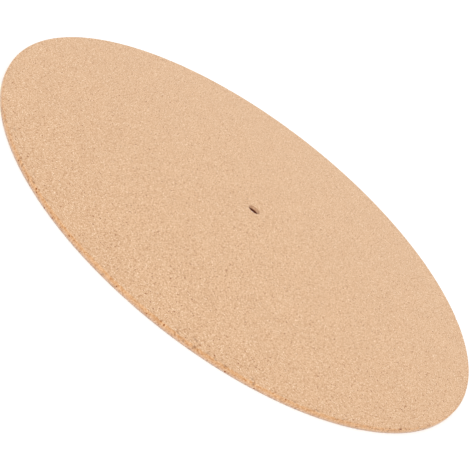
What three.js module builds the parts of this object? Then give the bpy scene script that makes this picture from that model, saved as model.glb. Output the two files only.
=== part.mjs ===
// A cork platter mat for a record player: one flat disc of pressed cork granules, die-cut from a sheet, with a
// spindle hole punched through its centre. Millimetres, +Z up. The origin is at the centre of the underside.
import * as THREE from "three";

const MAT_DIAMETER = 300; // lies just inside the rim of a 12 inch platter
const MAT_THICKNESS = 3;
const SPINDLE_DIAMETER = 7.1; // the standard record spindle that the mat drops over
const SPINDLE_CLEARANCE = 0.05; // gap all round the spindle
const RIM_EDGE_RADIUS = 0.4; // the die rounds the soft outer edges over a little
const HOLE_EDGE_RADIUS = 0.2;

const ROUND_SEGMENTS = 180; // flats around the disc
const EDGE_SEGMENTS = 3; // flats across each rounded edge

const CORK_COLOUR = 0xe4bd9a;
const CORK_ROUGHNESS = 0.9;

const matRadius = MAT_DIAMETER / 2;
const holeRadius = SPINDLE_DIAMETER / 2 + SPINDLE_CLEARANCE;
const quarterTurn = Math.PI / 2;

// The points of a rounded corner of the section, a quarter circle from startAngle onwards, counterclockwise.
function roundedCorner(centreRadius, centreHeight, radius, startAngle) {
  const points = [];
  for (let step = 0; step <= EDGE_SEGMENTS; step += 1) {
    const angle = startAngle + (quarterTurn * step) / EDGE_SEGMENTS;
    const across = centreRadius + radius * Math.cos(angle);
    const height = centreHeight + radius * Math.sin(angle);
    points.push(new THREE.Vector2(across, height));
  }
  return points;
}

// The section through one side of the disc, from the hole's wall to the rim: a thin bar with rounded corners.
// It runs counterclockwise from the lower corner at the hole and closes on itself.
function matSection() {
  const holeSide = holeRadius + HOLE_EDGE_RADIUS;
  const rimSide = matRadius - RIM_EDGE_RADIUS;
  const section = [
    ...roundedCorner(holeSide, HOLE_EDGE_RADIUS, HOLE_EDGE_RADIUS, 2 * quarterTurn),
    ...roundedCorner(rimSide, RIM_EDGE_RADIUS, RIM_EDGE_RADIUS, 3 * quarterTurn),
    ...roundedCorner(rimSide, MAT_THICKNESS - RIM_EDGE_RADIUS, RIM_EDGE_RADIUS, 0),
    ...roundedCorner(holeSide, MAT_THICKNESS - HOLE_EDGE_RADIUS, HOLE_EDGE_RADIUS, quarterTurn),
  ];
  section.push(section[0].clone());
  return section;
}

function corkMaterial() {
  return new THREE.MeshStandardMaterial({
    name: "cork",
    color: CORK_COLOUR,
    roughness: CORK_ROUGHNESS,
    metalness: 0,
  });
}

// The lathe turns the section about Y, so the mesh is turned to stand its axis on Z.
function platterMat() {
  const mat = new THREE.Mesh(new THREE.LatheGeometry(matSection(), ROUND_SEGMENTS), corkMaterial());
  mat.name = "platter_mat";
  mat.rotation.x = quarterTurn;
  return mat;
}

const corkPlatterMat = new THREE.Group();
corkPlatterMat.add(platterMat());

export default corkPlatterMat;
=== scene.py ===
import math
from collections import namedtuple
from itertools import accumulate, product

import bpy
import numpy as np
from mathutils import Color, Matrix, Vector


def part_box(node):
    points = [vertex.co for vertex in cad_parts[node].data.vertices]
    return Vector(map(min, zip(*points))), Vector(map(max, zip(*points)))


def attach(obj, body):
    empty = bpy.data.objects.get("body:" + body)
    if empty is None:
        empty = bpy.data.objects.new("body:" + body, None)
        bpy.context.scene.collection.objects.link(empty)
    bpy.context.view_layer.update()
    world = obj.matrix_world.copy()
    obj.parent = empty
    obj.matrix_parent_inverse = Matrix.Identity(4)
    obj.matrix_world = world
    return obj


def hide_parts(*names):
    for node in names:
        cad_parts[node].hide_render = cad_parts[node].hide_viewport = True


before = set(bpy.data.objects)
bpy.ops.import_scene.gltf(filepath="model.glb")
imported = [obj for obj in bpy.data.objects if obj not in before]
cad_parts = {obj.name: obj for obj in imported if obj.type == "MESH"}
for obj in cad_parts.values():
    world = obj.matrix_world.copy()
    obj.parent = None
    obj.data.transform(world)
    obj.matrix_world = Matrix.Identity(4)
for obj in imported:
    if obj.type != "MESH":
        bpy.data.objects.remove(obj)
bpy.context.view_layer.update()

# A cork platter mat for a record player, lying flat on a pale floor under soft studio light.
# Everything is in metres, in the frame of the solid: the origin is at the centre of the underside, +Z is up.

MM = 0.001
QUARTER_TURN = math.pi / 2
WHITE = (1, 1, 1, 1)

# The mat. Its rim and thickness come from the solid that it replaces.
mat_low, mat_high = (Vector(corner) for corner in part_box("platter_mat"))
RIM_RADIUS = (mat_high.x - mat_low.x) / 2
THICKNESS = mat_high.z - mat_low.z
HOLE_RADIUS = 3.6 * MM
RIM_EDGE_RADIUS = 0.4 * MM
HOLE_EDGE_RADIUS = 0.2 * MM

# The mesh. Its rows are rings round the axis, finest along the die-cut rim and in the hole.
# Across a face, the number of points in a ring halves this many times from the rim to the hole.
RIM_COUNT = 3072
HALVINGS = 5
HOLE_COUNT = RIM_COUNT // 2 ** HALVINGS
WALL_STEP = 0.31 * MM
EDGE_STEPS = 3
FACE_STEP_GROWTH = 1.22
LONGEST_FACE_STEP = 12 * MM

# The granules along the cut edges. Each lies a little under the plain surface, by a depth of its own, with a
# crevice along its border, and a lost one leaves a pit, darkened with painted shade. The powers make a
# crevice narrow and a pit's floor flat, and make the share of pits fall quickly from the wall's to the
# faces'.
GRANULE = 1.4 * MM
GRANULE_RELIEF = 0.03 * MM
CREVICE_DEPTH = 0.02 * MM
CREVICE_POWER = 4
PIT_DEPTH = 0.2 * MM
PIT_POWER = 3
PIT_PAINTED_SHADE = 0.4
WALL_PIT_SHARE = 0.03
FACE_PIT_SHARE = 0.01
PIT_SHARE_POWER = 4
RELIEF_REACH = 7 * MM

# The numbers that mix a granule's place into a random number, and the salts that give it several.
PLACE_FACTORS = (0x9E3779B1, 0x85EBCA77, 0xC2B2AE3D)
MIXING_FACTOR = 0x2C1B3C6D
FIRST_SHIFT = 15
SECOND_SHIFT = 12
CENTRE_SALTS = (1, 2, 3)
DEPTH_SALT = 4
LUCK_SALT = 5

# The lowest part of the hole's wall is torn, closes in a little towards the underside, and is darkened with
# painted shade.
TORN_SHADED_HEIGHT = 1.2 * MM
TORN_SHADED_SOFTNESS = 0.2 * MM
TORN_REACH = 0.5 * MM
TORN_UNEVENNESS = 0.2

# The cork's finish.
CORK_ROUGHNESS = 0.88
CORK_SPECULAR = 0.3
SHEEN = 0.35
SHEEN_ROUGHNESS = 0.4
SHEEN_TINT = (1, 0.97, 0.86, 1)

# Each place has a shade, which crumbs and grain vary and which falls between the flecks.
CRUMB = 0.45 * MM
GRAIN = 0.5 * MM
FLECK = 0.85 * MM
CRUMB_SHARE = 0.23
GRAIN_SHARE = 0.38
FLECK_DARKENING = 0.46
MIDDLE_SHADE = 0.43

# A shade from 0 to 1 gives a colour. Each set of tones has the colours of these shades, darkest first.
TONE_SHADES = (0.2, 0.35, 0.55, 0.8)
FACE_TONES = ((159, 106, 64), (194, 150, 111), (211, 172, 135), (235, 204, 172))
RIM_TONES = ((165, 100, 48), (195, 144, 97), (209, 164, 121), (229, 188, 148))
LOW_RIM_TONES = ((148, 112, 86), (181, 149, 126), (197, 167, 145), (216, 189, 168))
HOLE_TONES = ((169, 124, 91), (194, 152, 118), (210, 171, 138), (222, 186, 155))
# The colour of the painted shade in the pits and in the hole's low torn wall.
PAINTED_SHADE_COLOUR = (78, 24, 0)
FULL_TONE = 255

# How far in from each edge, and how far up the rim, one set of tones gives way to another.
RIM_BLEND = 1.7 * MM
RIM_UNEVENNESS = 1.2 * MM
RIM_NOISE_RANGE = (0.3, 0.7)
HOLE_BLEND = 0.2 * MM
LOW_RIM_HEIGHT = 2.2 * MM

# Seams are thin lines between granules, as wide as this share of one, and the mottle is broad and faint.
SEAM_WIDTH = 0.07
SEAM_SHADE = 0.98
MOTTLE = 12 * MM
MOTTLE_SHADE = 0.015
MOTTLE_NOISE_RANGE = (0.25, 0.75)

# How far noise bends the straight borders of the cells that stand for granules, crumbs and flecks.
GRANULE_BEND = GRANULE / 2
CRUMB_BEND = CRUMB / 2
FLECK_BEND = FLECK / 3
NOISE_MIDDLE = (0.5, 0.5, 0.5)

# Specks lie in a share of irregular cells, one to a cell. The smallest have a share of the largest width.
Specks = namedtuple("Specks", "spacing share largest strength colour")
DARK_SPECKS = Specks(spacing=0.93 * MM, share=0.039, largest=0.93 * MM, strength=1.0, colour=(131, 63, 4))
PALE_SPECKS = Specks(spacing=0.7 * MM, share=0.08, largest=0.65 * MM, strength=1.0, colour=(255, 235, 207))
CHIPS = Specks(spacing=1.9 * MM, share=0.68, largest=2.1 * MM, strength=0.95, colour=(114, 52, 0))
SMALLEST_SPECK = 0.5
SPECK_SOFTNESS = 0.15
BENDS_ACROSS_SPECK = 3

# The chips are dark specks along the rim's top edge, no lower and no further in than this.
# They are this many times wider than high, and strongest in one worn stretch of the rim.
CHIP_LOWEST = 1.7 * MM
CHIP_REACH = 2 * RIM_EDGE_RADIUS
CHIP_FLATNESS = 4
WORN_ANGLE = math.radians(321)
WORN_REACH = 35 * MM
UNWORN_SHARE = 0.27

# The bump, and how much of it each part of the finish makes.
BUMP_DEPTH = 0.03 * MM
GRANULE_BUMP = 0.3
SEAM_BUMP = 0.3
CRUMB_BUMP = 0.4
GRAIN_BUMP = 0.4
SPECK_BUMP = -0.6

# The sockets for colours on a Mix node, which share their names with its other sockets.
MIX_FIRST = 6
MIX_SECOND = 7
MIX_RESULT = 2

# The camera, from a pinhole fit to the outline of the photographed rim.
CAMERA_DISTANCE = 0.5237
CAMERA_ELEVATION = math.radians(23.53)
CAMERA_PITCH = math.radians(-25.156)
CAMERA_YAW = math.radians(0.034)
CAMERA_ROLL = math.radians(38.11)
CAMERA_LENS_MM = 72.7
CAMERA_SENSOR_MM = 36

# Light. The sky's strengths are its brightness, and the key light's is its power on a square metre.
SKY_STRENGTH = 0.9
BACKDROP_STRENGTH = 1.1
KEY_STRENGTH = 1.35
KEY_SOFTNESS = math.radians(40)
KEY_ELEVATION = math.radians(48)
KEY_AZIMUTH = math.radians(265)

# The floor lies just under the mat, so that its surface and the mat's underside don't share one plane.
FLOOR_SIZE = 60
FLOOR_GAP = 0.02 * MM
FLOOR_COLOUR = (0.95, 0.95, 0.95, 1)

# The camera sees to beyond the floor's edge.
CAMERA_REACH = 2 * FLOOR_SIZE


# Section: the rows of the mat's surface, once round its section, outwards over the top.
# A row has its place, the two parts of its outward direction, and its number of points.

Row = namedtuple("Row", "radius height out up count")


def edge_rows(centre_radius, centre_height, radius, start, count):
    """Rows over a rounded edge, a quarter turn clockwise from the angle start, without its two ends."""
    rows = []
    for step in range(1, EDGE_STEPS):
        angle = start - QUARTER_TURN * step / EDGE_STEPS
        out = math.cos(angle)
        up = math.sin(angle)
        rows.append(Row(centre_radius + radius * out, centre_height + radius * up, out, up, count))
    return rows


def wall_rows(radius, edge_radius, out, count):
    """Rows down an upright wall, from the end of one rounded edge to the start of the other."""
    top = THICKNESS - edge_radius
    bottom = edge_radius
    steps = round((top - bottom) / WALL_STEP)
    return [Row(radius, top + (bottom - top) * step / steps, out, 0, count) for step in range(steps + 1)]


def face_rows(height, up):
    """Rows over a flat face, from the rim inwards to the hole, in steps that grow away from both."""
    outer = RIM_RADIUS - RIM_EDGE_RADIUS
    inner = HOLE_RADIUS + HOLE_EDGE_RADIUS
    middle = (outer + inner) / 2
    from_rim = []
    radius = outer
    step = WALL_STEP
    count = RIM_COUNT
    while radius > middle:
        from_rim.append(Row(radius, height, 0, up, count))
        radius -= step
        step = min(step * FACE_STEP_GROWTH, LONGEST_FACE_STEP)
        if count > HOLE_COUNT and math.tau * radius / count < step:
            count //= 2
    from_hole = []
    radius = inner
    step = WALL_STEP
    while radius < middle:
        from_hole.append(Row(radius, height, 0, up, HOLE_COUNT))
        radius += step
        step = min(step * FACE_STEP_GROWTH, LONGEST_FACE_STEP)
    return from_rim + from_hole[::-1]


def section_rows():
    """All rows of the mat: the top, the rim, the underside and the hole, with their rounded edges."""
    rim_centre = RIM_RADIUS - RIM_EDGE_RADIUS
    hole_centre = HOLE_RADIUS + HOLE_EDGE_RADIUS
    rim_top_edge = THICKNESS - RIM_EDGE_RADIUS
    hole_top_edge = THICKNESS - HOLE_EDGE_RADIUS
    return [
        *face_rows(THICKNESS, 1)[::-1],
        *edge_rows(rim_centre, rim_top_edge, RIM_EDGE_RADIUS, QUARTER_TURN, RIM_COUNT),
        *wall_rows(RIM_RADIUS, RIM_EDGE_RADIUS, 1, RIM_COUNT),
        *edge_rows(rim_centre, RIM_EDGE_RADIUS, RIM_EDGE_RADIUS, 0, RIM_COUNT),
        *face_rows(0, -1),
        *edge_rows(hole_centre, HOLE_EDGE_RADIUS, HOLE_EDGE_RADIUS, -QUARTER_TURN, HOLE_COUNT),
        *wall_rows(HOLE_RADIUS, HOLE_EDGE_RADIUS, -1, HOLE_COUNT)[::-1],
        *edge_rows(hole_centre, hole_top_edge, HOLE_EDGE_RADIUS, -2 * QUARTER_TURN, HOLE_COUNT),
    ]


# Faces between two rows, with one row's count equal to the other's, or twice it.

def faces_between(first, first_count, second, second_count):
    """Faces from one row of points to the next, each row given by its first point and its count."""
    count = min(first_count, second_count)
    first_steps = first_count // count
    second_steps = second_count // count
    faces = []
    for place in range(count):
        here = [first + (place * first_steps + step) % first_count for step in range(first_steps + 1)]
        there = [second + (place * second_steps + step) % second_count for step in range(second_steps + 1)]
        if first_steps == second_steps:
            faces.append((here[0], there[0], there[1], here[1]))
        elif first_steps > second_steps:
            faces.append((here[0], there[0], here[1]))
            faces.append((here[1], there[0], there[1]))
            faces.append((here[1], there[1], here[2]))
        else:
            faces.append((here[0], there[0], there[1]))
            faces.append((here[0], there[1], here[1]))
            faces.append((here[1], there[1], there[2]))
    return faces


# Granules: irregular cells in space, each with random numbers of its own.

def hashed(places, salt):
    """A repeatable random number from 0 to 1 for each place, given by three whole numbers."""
    mixed = np.full(len(places), salt, np.uint32)
    for column, factor in enumerate(PLACE_FACTORS):
        mixed ^= places[:, column].astype(np.uint32) * np.uint32(factor)
        mixed ^= mixed >> np.uint32(FIRST_SHIFT)
        mixed *= np.uint32(MIXING_FACTOR)
        mixed ^= mixed >> np.uint32(SECOND_SHIFT)
    return mixed / 2.0 ** 32


def granules(points):
    """For each point: how near it is to its granule's border, from 0 to 1, and two random numbers."""
    places = points / GRANULE
    corner = np.floor(places).astype(np.int64)
    nearest = np.full(len(points), np.inf)
    second = np.full(len(points), np.inf)
    depth = np.zeros(len(points))
    luck = np.zeros(len(points))
    for offset in product((-1, 0, 1), repeat=3):
        cell = corner + np.array(offset)
        centre = cell + np.column_stack([hashed(cell, salt) for salt in CENTRE_SALTS])
        distance = np.linalg.norm(places - centre, axis=1)
        closer = distance < nearest
        second = np.where(closer, nearest, np.minimum(second, distance))
        nearest = np.where(closer, distance, nearest)
        depth = np.where(closer, hashed(cell, DEPTH_SALT), depth)
        luck = np.where(closer, hashed(cell, LUCK_SALT), luck)
    return nearest / second, depth, luck


def relief(points, edge_distance, torn_and_shaded):
    """For each point: its depth under the plain surface, its lean into the hole, and how much painted shade
    it gets.
    """
    border, own_depth, luck = granules(points)
    near_edge = np.clip(1 - edge_distance / RELIEF_REACH, 0, 1)
    depth = near_edge * (GRANULE_RELIEF * own_depth + CREVICE_DEPTH * border ** CREVICE_POWER)
    pit_share = FACE_PIT_SHARE + (WALL_PIT_SHARE - FACE_PIT_SHARE) * near_edge ** PIT_SHARE_POWER
    pit = np.where((luck < pit_share) & (near_edge > 0), 1 - border ** PIT_POWER, 0)
    depth += PIT_DEPTH * pit
    share_below = np.clip(1 - points[:, 2] / TORN_SHADED_HEIGHT, 0, 1)
    lean = TORN_REACH * torn_and_shaded * share_below * (1 - TORN_UNEVENNESS * own_depth)
    # Painted shade: a share of it in the pits, and all of it on the hole's low torn wall.
    return depth, lean, np.maximum(PIT_PAINTED_SHADE * pit, torn_and_shaded)


def smooth_step(low, high, value):
    """A share that rises smoothly from 0 where the value is low to 1 where it is high."""
    share = np.clip((value - low) / (high - low), 0, 1)
    return share * share * (3 - 2 * share)


def mat_piece():
    """The mat's surface with its granules, pits and torn hole, as one closed mesh."""
    rows = section_rows()
    counts = [row.count for row in rows]
    radius, height, out, up, count = np.repeat(np.array(rows), counts, axis=0).T
    angle = np.concatenate([np.arange(row.count) for row in rows]) * math.tau / count
    round_x = np.cos(angle)
    round_y = np.sin(angle)

    plain = np.column_stack([radius * round_x, radius * round_y, height])
    normal = np.column_stack([out * round_x, out * round_y, up])
    from_rim = np.maximum(RIM_RADIUS - RIM_EDGE_RADIUS - radius, 0)
    from_hole = np.maximum(radius - HOLE_RADIUS - HOLE_EDGE_RADIUS, 0)
    in_hole = radius < HOLE_RADIUS + HOLE_EDGE_RADIUS
    # The hole's lowest wall leans in and gets full painted shade, where shade falls deep in the hole.
    torn_and_shaded_below = smooth_step(TORN_SHADED_HEIGHT + TORN_SHADED_SOFTNESS, TORN_SHADED_HEIGHT - TORN_SHADED_SOFTNESS, height)
    depth, lean, painted_shade = relief(plain, np.minimum(from_rim, from_hole), torn_and_shaded_below * in_hole)
    points = plain - normal * depth[:, None]
    points -= np.column_stack([lean * round_x, lean * round_y, np.zeros(len(lean))])

    starts = [0, *accumulate(counts)]
    faces = []
    for place in range(len(rows)):
        following = (place + 1) % len(rows)
        faces += faces_between(starts[place], counts[place], starts[following], counts[following])

    mesh = bpy.data.meshes.new("cork_mat")
    mesh.from_pydata(points.tolist(), [], faces)
    mesh.shade_smooth()
    # The painted shade of the pits and the torn hole goes to the material as an attribute.
    mesh.attributes.new("painted_shade", "FLOAT", "POINT").data.foreach_set("value", painted_shade.astype(np.float32))
    piece = bpy.data.objects.new("cork_mat", mesh)
    bpy.context.scene.collection.objects.link(piece)
    return piece


# Materials, as node trees. Sizes are given in metres, and the trees reckon places in millimetres.

def linear(colour):
    """A colour for a shader, from its usual 0 to 255 values."""
    return (*Color([part / FULL_TONE for part in colour]).from_srgb_to_scene_linear(), 1)


def node(tree, kind, inputs=None, **settings):
    """A new node with its settings, its inputs linked to sockets or set to values."""
    made = tree.nodes.new(kind)
    for name, value in settings.items():
        setattr(made, name, value)
    for name, value in (inputs or {}).items():
        if isinstance(value, bpy.types.NodeSocket):
            tree.links.new(value, made.inputs[name])
        else:
            made.inputs[name].default_value = value
    return made


def reckon(tree, operation, *values):
    """One step of arithmetic on numbers."""
    return node(tree, "ShaderNodeMath", dict(enumerate(values)), operation=operation).outputs["Value"]


def vector_reckon(tree, operation, *values):
    """One step of arithmetic on vectors, which gives a vector or a value."""
    return node(tree, "ShaderNodeVectorMath", dict(enumerate(values)), operation=operation).outputs


def scaled(tree, vector, factor):
    """A vector or a colour times a factor."""
    inputs = {0: vector, "Scale": factor}
    return node(tree, "ShaderNodeVectorMath", inputs, operation="SCALE").outputs["Vector"]


def weighted(tree, *parts):
    """The sum of values, each times its weight."""
    total = 0.0
    for value, weight in parts:
        total = reckon(tree, "MULTIPLY_ADD", value, weight, total)
    return total


def spread(tree, value, low, high, to_low=0.0, to_high=1.0):
    """A value carried over from one range to another, smoothly and no further."""
    inputs = {"Value": value, "From Min": low, "From Max": high, "To Min": to_low, "To Max": to_high}
    return node(tree, "ShaderNodeMapRange", inputs, interpolation_type="SMOOTHSTEP").outputs["Result"]


def blend(tree, share, first, second):
    """Two colours mixed, the second by its share."""
    inputs = {"Factor": share, MIX_FIRST: first, MIX_SECOND: second}
    return node(tree, "ShaderNodeMix", inputs, data_type="RGBA").outputs[MIX_RESULT]


def noise(tree, place, size):
    """Noise whose features are about as wide as size: a value and a colour of three values."""
    return node(tree, "ShaderNodeTexNoise", {"Vector": place, "Scale": MM / size}).outputs


def cells(tree, place, size, feature="F1"):
    """Irregular cells about as wide as size: each place's distance, in cells, and its cell's random colour.
    The distance is from the cell's centre, or from its border where the feature says so."""
    return node(tree, "ShaderNodeTexVoronoi", {"Vector": place, "Scale": MM / size}, feature=feature).outputs


def traits(tree, cell):
    """Three random numbers that all places in one cell share, as red, green and blue."""
    return node(tree, "ShaderNodeSeparateColor", {"Color": cell["Color"]}).outputs


def ramp(tree, shade, tones):
    """The colour of a shade, by a set of tones."""
    made = node(tree, "ShaderNodeValToRGB", {"Fac": shade})
    elements = made.color_ramp.elements
    while len(elements) < len(tones):
        elements.new(1)
    for element, tone_shade, tone in zip(elements, TONE_SHADES, tones):
        element.position = tone_shade
        element.color = linear(tone)
    return made.outputs["Color"]


def new_material(name, roughness, specular):
    """A plain material and its shader."""
    material = bpy.data.materials.new(name)
    material.use_nodes = True
    shader = material.node_tree.nodes["Principled BSDF"]
    shader.inputs["Roughness"].default_value = roughness
    shader.inputs["Specular IOR Level"].default_value = specular
    return material, shader


def millimetres(tree):
    """The place on the mat, in millimetres from its origin."""
    return scaled(tree, node(tree, "ShaderNodeTexCoord").outputs["Object"], 1 / MM)


def section_place(tree, place):
    """The distance from the axis and the height over the underside, in millimetres."""
    parts = node(tree, "ShaderNodeSeparateXYZ", {"Vector": place}).outputs
    flat = node(tree, "ShaderNodeCombineXYZ", {"X": parts["X"], "Y": parts["Y"]}).outputs["Vector"]
    return vector_reckon(tree, "LENGTH", flat)["Value"], parts["Z"]


def warped(tree, place, size, reach):
    """A place pushed about by noise, which makes straight borders crooked."""
    push = vector_reckon(tree, "SUBTRACT", noise(tree, place, size)["Color"], NOISE_MIDDLE)["Vector"]
    return vector_reckon(tree, "MULTIPLY_ADD", push, (reach / MM,) * 3, place)["Vector"]


def speckled(tree, place, colour, specks, within=1.0):
    """A colour with small irregular specks over it, and where the specks are."""
    bend = specks.spacing / BENDS_ACROSS_SPECK
    cell = cells(tree, warped(tree, place, bend, bend), specks.spacing)
    luck = traits(tree, cell)
    chosen = reckon(tree, "LESS_THAN", luck["Red"], specks.share)
    largest = specks.largest / specks.spacing / 2
    radius = spread(tree, luck["Blue"], 0.0, 1.0, largest * SMALLEST_SPECK, largest)
    from_centre = reckon(tree, "DIVIDE", cell["Distance"], radius)
    inside = spread(tree, from_centre, 1 + SPECK_SOFTNESS, 1 - SPECK_SOFTNESS)
    speck = reckon(tree, "MULTIPLY", reckon(tree, "MULTIPLY", inside, chosen), within)
    strength = reckon(tree, "MULTIPLY", speck, specks.strength)
    return blend(tree, strength, colour, linear(specks.colour)), speck


def chipped(tree, place, colour):
    """A colour with dark chips along the rim's top edge, and where the chips are."""
    radius, height = section_place(tree, place)
    rim = RIM_RADIUS / MM
    edge = RIM_EDGE_RADIUS / MM
    lowest = CHIP_LOWEST / MM
    high = spread(tree, height, lowest, lowest + edge)
    outer = spread(tree, radius, rim - CHIP_REACH / MM, rim - edge)
    worn_place = (rim * math.cos(WORN_ANGLE), rim * math.sin(WORN_ANGLE), THICKNESS / MM)
    away = vector_reckon(tree, "DISTANCE", place, worn_place)["Value"]
    worn = spread(tree, away, WORN_REACH / MM, 0.0, UNWORN_SHARE, 1.0)
    within = reckon(tree, "MULTIPLY", reckon(tree, "MULTIPLY", high, outer), worn)
    stretched = vector_reckon(tree, "MULTIPLY", place, (1, 1, CHIP_FLATNESS))["Vector"]
    return speckled(tree, stretched, colour, CHIPS, within)


def toned(tree, place, shade):
    """A shade's colour: pale faces with pale specks, a warm rim that is greyer lower down, a brown hole."""
    radius, height = section_place(tree, place)
    rim = RIM_RADIUS / MM
    hole = HOLE_RADIUS / MM
    uneven = spread(tree, noise(tree, place, GRANULE)["Fac"], *RIM_NOISE_RANGE, -RIM_UNEVENNESS / MM, 0.0)
    near_rim = spread(tree, reckon(tree, "ADD", radius, uneven), rim - RIM_BLEND / MM, rim)
    at_rim = reckon(tree, "MAXIMUM", near_rim, spread(tree, radius, rim - RIM_EDGE_RADIUS / MM, rim))
    at_hole = spread(tree, radius, hole + HOLE_BLEND / MM, hole)
    above = spread(tree, height, 0.0, LOW_RIM_HEIGHT / MM)
    cut = blend(tree, above, ramp(tree, shade, LOW_RIM_TONES), ramp(tree, shade, RIM_TONES))
    face = speckled(tree, place, ramp(tree, shade, FACE_TONES), PALE_SPECKS)[0]
    colour = blend(tree, at_rim, face, cut)
    return blend(tree, at_hole, colour, ramp(tree, shade, HOLE_TONES))


def cork_material():
    """Pressed cork: crumbs, flecks, grain, thin seams, a faint mottle, specks, chips and painted shade in
    hollows.
    """
    material, shader = new_material("cork", CORK_ROUGHNESS, CORK_SPECULAR)
    shader.inputs["Sheen Weight"].default_value = SHEEN
    shader.inputs["Sheen Roughness"].default_value = SHEEN_ROUGHNESS
    shader.inputs["Sheen Tint"].default_value = SHEEN_TINT
    tree = material.node_tree
    place = millimetres(tree)
    crooked = warped(tree, place, GRANULE, GRANULE_BEND)

    granule = traits(tree, cells(tree, crooked, GRANULE))
    crumb = traits(tree, cells(tree, warped(tree, place, CRUMB, CRUMB_BEND), CRUMB))
    grain = noise(tree, place, GRAIN)["Fac"]
    from_fleck = cells(tree, warped(tree, place, FLECK, FLECK_BEND), FLECK)["Distance"]
    flecks = (from_fleck, -FLECK_DARKENING)
    shade = weighted(tree, (crumb["Red"], CRUMB_SHARE), (grain, GRAIN_SHARE), flecks, (1.0, MIDDLE_SHADE))
    colour = toned(tree, place, shade)

    border = cells(tree, crooked, GRANULE, "DISTANCE_TO_EDGE")["Distance"]
    seam = spread(tree, border, 0.0, SEAM_WIDTH, SEAM_SHADE, 1.0)
    mottle = noise(tree, place, MOTTLE)["Fac"]
    cloud = spread(tree, mottle, *MOTTLE_NOISE_RANGE, 1 - MOTTLE_SHADE, 1 + MOTTLE_SHADE)
    colour = scaled(tree, colour, reckon(tree, "MULTIPLY", seam, cloud))
    colour, dark = speckled(tree, place, colour, DARK_SPECKS)
    colour, chips = chipped(tree, place, colour)

    # Painted shade: dark brown laid over the pits and the hole's low torn wall.
    painted_shade = node(tree, "ShaderNodeAttribute", attribute_name="painted_shade").outputs["Fac"]
    colour = blend(tree, painted_shade, colour, linear(PAINTED_SHADE_COLOUR))
    tree.links.new(colour, shader.inputs["Base Color"])

    height = weighted(
        tree,
        (granule["Blue"], GRANULE_BUMP),
        (spread(tree, border, 0.0, SEAM_WIDTH), SEAM_BUMP),
        (crumb["Blue"], CRUMB_BUMP),
        (grain, GRAIN_BUMP),
        (reckon(tree, "MAXIMUM", dark, chips), SPECK_BUMP),
    )
    bump = node(tree, "ShaderNodeBump", {"Distance": BUMP_DEPTH, "Height": height})
    tree.links.new(bump.outputs["Normal"], shader.inputs["Normal"])
    return material


# The studio.

def add_floor():
    """A wide pale floor under the mat."""
    mesh = bpy.data.meshes.new("floor")
    half = FLOOR_SIZE / 2
    corners = [(-half, -half, 0), (half, -half, 0), (half, half, 0), (-half, half, 0)]
    mesh.from_pydata(corners, [], [(0, 1, 2, 3)])
    floor = bpy.data.objects.new("floor", mesh)
    floor.location.z = -FLOOR_GAP
    material, shader = new_material("pale_floor", roughness=1.0, specular=0.0)
    shader.inputs["Base Color"].default_value = FLOOR_COLOUR
    mesh.materials.append(material)
    bpy.context.scene.collection.objects.link(floor)


def add_sky():
    """An even white sky, with a slightly brighter white behind everything that the camera sees."""
    world = bpy.data.worlds.new("studio")
    world.use_nodes = True
    tree = world.node_tree
    tree.nodes.clear()
    light = node(tree, "ShaderNodeBackground", {"Color": WHITE, "Strength": SKY_STRENGTH})
    backdrop = node(tree, "ShaderNodeBackground", {"Color": WHITE, "Strength": BACKDROP_STRENGTH})
    seen = node(tree, "ShaderNodeLightPath").outputs["Is Camera Ray"]
    mixed = node(tree, "ShaderNodeMixShader", {0: seen, 1: light.outputs[0], 2: backdrop.outputs[0]})
    node(tree, "ShaderNodeOutputWorld", {"Surface": mixed.outputs[0]})
    bpy.context.scene.world = world


def add_key_light():
    """One broad soft light from the camera's side, far enough away to be even all over the mat."""
    lamp = bpy.data.lights.new("key", "SUN")
    lamp.energy = KEY_STRENGTH
    lamp.angle = KEY_SOFTNESS
    key = bpy.data.objects.new("key", lamp)
    across = math.cos(KEY_ELEVATION)
    towards = Vector((
        across * math.cos(KEY_AZIMUTH),
        across * math.sin(KEY_AZIMUTH),
        math.sin(KEY_ELEVATION),
    ))
    key.rotation_euler = towards.to_track_quat("Z", "Y").to_euler()
    bpy.context.scene.collection.objects.link(key)


def add_camera():
    """The camera, in front of the mat and over it, turned about its own line of sight."""
    lens = bpy.data.cameras.new("camera")
    lens.lens = CAMERA_LENS_MM
    lens.sensor_width = CAMERA_SENSOR_MM
    lens.clip_end = CAMERA_REACH
    camera = bpy.data.objects.new("camera", lens)
    forward = Vector((
        math.sin(CAMERA_YAW) * math.cos(CAMERA_PITCH),
        math.cos(CAMERA_YAW) * math.cos(CAMERA_PITCH),
        math.sin(CAMERA_PITCH),
    ))
    level = Vector((math.cos(CAMERA_YAW), -math.sin(CAMERA_YAW), 0))
    upright = level.cross(forward)
    right = level * math.cos(CAMERA_ROLL) + upright * math.sin(CAMERA_ROLL)
    up = upright * math.cos(CAMERA_ROLL) - level * math.sin(CAMERA_ROLL)
    turned = Matrix((right, up, -forward)).transposed()
    place = Vector((0, -math.cos(CAMERA_ELEVATION), math.sin(CAMERA_ELEVATION))) * CAMERA_DISTANCE
    camera.matrix_world = Matrix.Translation(place) @ turned.to_4x4()
    bpy.context.scene.collection.objects.link(camera)
    bpy.context.scene.camera = camera


mat = mat_piece()
mat.data.materials.append(cork_material())
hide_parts("platter_mat")
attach(mat, "root")

add_floor()
add_sky()
add_key_light()
add_camera()
bpy.context.scene.view_settings.view_transform = "Standard"
